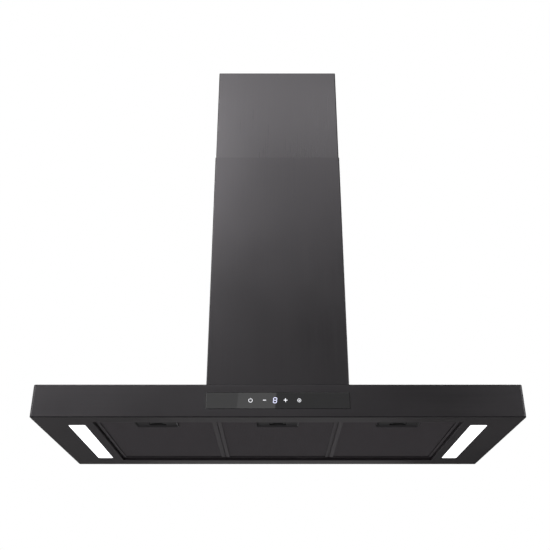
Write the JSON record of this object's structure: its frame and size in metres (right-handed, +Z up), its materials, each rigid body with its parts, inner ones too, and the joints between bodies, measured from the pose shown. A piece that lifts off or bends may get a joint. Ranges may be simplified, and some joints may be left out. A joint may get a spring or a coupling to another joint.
{
  "type": "island range hood",
  "caption": "Ceiling-hung island range hood: flat rectangular canopy with touch panel, strip lights and mesh filters, blower inside a telescoping square chimney.",
  "frame": {"origin": "centre of the ceiling plate's four bolt holes, on the ceiling", "axes": "+X to the right as seen from the controls, +Y to the back, +Z up towards the ceiling"},
  "size_m": [0.9, 0.396, 0.852],
  "materials": {
    "chimney_skin": "satin black-tinted stainless sheet, brushed upright",
    "canopy_skin": "satin black-tinted stainless sheet, brushed along its length",
    "galvanised": "bright galvanised sheet",
    "strut_steel": "zinc-plated angle",
    "fixings": "zinc-plated screws",
    "smoked_glass": "dark toughened glass, gloss",
    "display": "one-digit display",
    "circuit_board": "green solder mask",
    "contact_spring": "sensing springs",
    "dark_plastic": "black moulded plastic",
    "casing_plastic": "grey moulded plastic",
    "impeller_plastic": "black moulded plastic",
    "motor_steel": "drawn steel",
    "lamination": "stacked laminations",
    "shaft_steel": "ground steel",
    "capacitor_can": "white plastic can",
    "lens": "frosted diffuser, lit",
    "light_board": "white board",
    "tray_metal": "folded channel",
    "filter_metal": "dark anodised frame",
    "handle_skin": "satin black pressed sheet",
    "filter_weave": "dark expanded mesh",
    "spring_steel": "coiled wire"
  },
  "bodies": {
    "ceiling_frame": {"ceiling_plate": "galvanised", "upper_chimney": "chimney_skin", "ceiling_frame_screws": "fixings", "upper_strut_front_left": "strut_steel", "upper_strut_front_right": "strut_steel", "upper_strut_rear_left": "strut_steel", "upper_strut_rear_right": "strut_steel"},
    "hood": {"canopy_shell": "canopy_skin", "base_panel": "canopy_skin", "panel_brackets": "galvanised", "fan_box": "galvanised", "strut_bolts": "fixings", "hood_screws": "fixings", "lower_strut_front_left": "strut_steel", "lower_strut_front_right": "strut_steel", "lower_strut_rear_left": "strut_steel", "lower_strut_rear_right": "strut_steel", "scroll_left": "casing_plastic", "scroll_right": "casing_plastic", "stator": "lamination", "motor_bearings": "shaft_steel", "motor_housing": "motor_steel", "motor_end_cap": "motor_steel", "motor_bracket": "galvanised", "capacitor": "capacitor_can", "outlet_collar": "dark_plastic", "damper_pin": "shaft_steel", "cable_gland": "dark_plastic", "control_glass": "smoked_glass", "control_housing": "dark_plastic", "touch_board": "circuit_board", "touch_springs": "contact_spring", "display_module": "display", "power_box": "galvanised", "power_box_lid": "galvanised", "main_board": "circuit_board", "led_lenses": "lens", "led_boards": "light_board", "led_trays": "tray_metal"},
    "lower_chimney": {"lower_chimney": "chimney_skin"},
    "fan_wheel": {"impeller": "impeller_plastic", "motor_shaft": "shaft_steel", "rotor": "lamination"},
    "damper_left": {"damper_flap_left": "dark_plastic"},
    "damper_right": {"damper_flap_right": "dark_plastic"},
    "filter_left": {"filter_frame_left": "filter_metal", "filter_mesh_left": "filter_weave", "filter_handle_left": "handle_skin", "latch_spring_left": "spring_steel"},
    "latch_left": {"latch_left": "dark_plastic"},
    "filter_middle": {"filter_frame_middle": "filter_metal", "filter_mesh_middle": "filter_weave", "filter_handle_middle": "handle_skin", "latch_spring_middle": "spring_steel"},
    "latch_middle": {"latch_middle": "dark_plastic"},
    "filter_right": {"filter_frame_right": "filter_metal", "filter_mesh_right": "filter_weave", "filter_handle_right": "handle_skin", "latch_spring_right": "spring_steel"},
    "latch_right": {"latch_right": "dark_plastic"}
  },
  "joints": [
    {"name": "height_adjust", "type": "slide", "parent": "ceiling_frame", "child": "hood", "axis": [0, 0, 1], "range_m": [-0.16, 0.12]},
    {"name": "lower_chimney_lift", "type": "slide", "parent": "hood", "child": "lower_chimney", "axis": [0, 0, 1], "range_m": [0, 0.1]},
    {"name": "impeller_spin", "type": "hinge", "parent": "hood", "child": "fan_wheel", "pos_m": [0, 0.03, -0.692], "axis": [1, 0, 0], "continuous": true},
    {"name": "damper_left_swing", "type": "hinge", "parent": "hood", "child": "damper_left", "pos_m": [0, 0, -0.4902], "axis": [0, 1, 0], "range_deg": [0, 80]},
    {"name": "damper_right_swing", "type": "hinge", "parent": "hood", "child": "damper_right", "pos_m": [0, 0, -0.4902], "axis": [0, -1, 0], "range_deg": [0, 80]},
    {"name": "filter_left_swing", "type": "hinge", "parent": "hood", "child": "filter_left", "pos_m": [-0.228, 0.1576, -0.8435], "axis": [1, 0, 0], "range_deg": [0, 50]},
    {"name": "latch_left_slide", "type": "slide", "parent": "filter_left", "child": "latch_left", "axis": [0, 1, 0], "range_m": [0, 0.005], "stiffness_N_per_m": 400, "springref_m": -0.005, "deforming": ["latch_spring_left"]},
    {"name": "filter_middle_swing", "type": "hinge", "parent": "hood", "child": "filter_middle", "pos_m": [0, 0.1576, -0.8435], "axis": [1, 0, 0], "range_deg": [0, 50]},
    {"name": "latch_middle_slide", "type": "slide", "parent": "filter_middle", "child": "latch_middle", "axis": [0, 1, 0], "range_m": [0, 0.005], "stiffness_N_per_m": 400, "springref_m": -0.005, "deforming": ["latch_spring_middle"]},
    {"name": "filter_right_swing", "type": "hinge", "parent": "hood", "child": "filter_right", "pos_m": [0.228, 0.1576, -0.8435], "axis": [1, 0, 0], "range_deg": [0, 50]},
    {"name": "latch_right_slide", "type": "slide", "parent": "filter_right", "child": "latch_right", "axis": [0, 1, 0], "range_m": [0, 0.005], "stiffness_N_per_m": 400, "springref_m": -0.005, "deforming": ["latch_spring_right"]}
  ]
}
